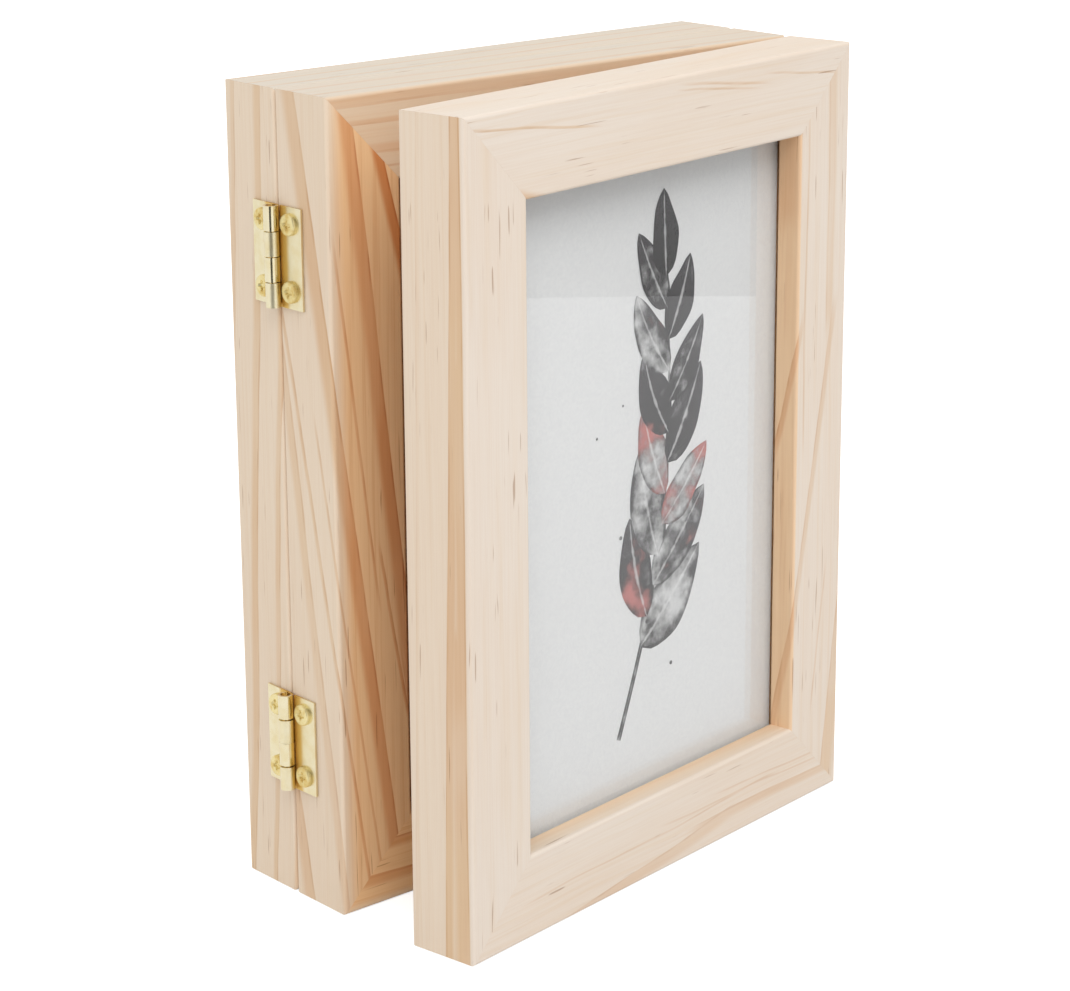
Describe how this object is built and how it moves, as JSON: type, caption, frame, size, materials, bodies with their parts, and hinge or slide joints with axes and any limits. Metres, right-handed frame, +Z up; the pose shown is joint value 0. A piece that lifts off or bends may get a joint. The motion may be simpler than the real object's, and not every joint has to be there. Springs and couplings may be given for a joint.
{
  "type": "triple folding picture frame",
  "caption": "Folding pine picture frames joined side to side by brass butt hinges, each holding a small upright picture behind glass.",
  "frame": {"origin": "centre of the middle frame's underside, on the surface that the frames stand on", "axes": "+Z up, +Y across the folded stack towards the rear frame, -Y the side that the front frame's picture faces, +X to the right as seen from the front"},
  "size_m": [0.1446, 0.0758, 0.185],
  "materials": {
    "pine": "unfinished sanded pine, matte, straight grain along each rail",
    "glass": "clear picture glass",
    "print_paper": "matte art paper with a pale botanical watercolour",
    "hardboard": "thin brown hardboard, matte",
    "brass": "polished brass plate"
  },
  "bodies": {
    "middle_frame": {"middle_left_stile": "pine", "middle_right_stile": "pine", "middle_top_rail": "pine", "middle_bottom_rail": "pine", "middle_glass": "glass", "middle_print": "print_paper", "middle_backing_board": "hardboard", "left_upper_hinge_middle_leaf": "brass", "left_upper_hinge_middle_screw_top": "brass", "left_upper_hinge_middle_screw_bottom": "brass", "left_upper_hinge_pin": "brass", "left_lower_hinge_middle_leaf": "brass", "left_lower_hinge_middle_screw_top": "brass", "left_lower_hinge_middle_screw_bottom": "brass", "left_lower_hinge_pin": "brass", "right_upper_hinge_middle_leaf": "brass", "right_upper_hinge_middle_screw_top": "brass", "right_upper_hinge_middle_screw_bottom": "brass", "right_upper_hinge_pin": "brass", "right_lower_hinge_middle_leaf": "brass", "right_lower_hinge_middle_screw_top": "brass", "right_lower_hinge_middle_screw_bottom": "brass", "right_lower_hinge_pin": "brass"},
    "rear_frame": {"rear_left_stile": "pine", "rear_right_stile": "pine", "rear_top_rail": "pine", "rear_bottom_rail": "pine", "rear_glass": "glass", "rear_print": "print_paper", "rear_backing_board": "hardboard", "left_upper_hinge_rear_leaf": "brass", "left_upper_hinge_rear_screw_top": "brass", "left_upper_hinge_rear_screw_bottom": "brass", "left_lower_hinge_rear_leaf": "brass", "left_lower_hinge_rear_screw_top": "brass", "left_lower_hinge_rear_screw_bottom": "brass"},
    "front_frame": {"front_left_stile": "pine", "front_right_stile": "pine", "front_top_rail": "pine", "front_bottom_rail": "pine", "front_glass": "glass", "front_print": "print_paper", "front_backing_board": "hardboard", "right_upper_hinge_front_leaf": "brass", "right_upper_hinge_front_screw_top": "brass", "right_upper_hinge_front_screw_bottom": "brass", "right_lower_hinge_front_leaf": "brass", "right_lower_hinge_front_screw_top": "brass", "right_lower_hinge_front_screw_bottom": "brass"}
  },
  "joints": [
    {"name": "left_fold", "type": "hinge", "parent": "middle_frame", "child": "rear_frame", "pos_m": [-0.07055, 0.00855, 0], "axis": [0, 0, 1], "range_deg": [0, 165]},
    {"name": "right_fold", "type": "hinge", "parent": "middle_frame", "child": "front_frame", "pos_m": [0.07055, -0.00855, 0], "axis": [0, 0, 1], "range_deg": [-8.9, 156.1]}
  ]
}
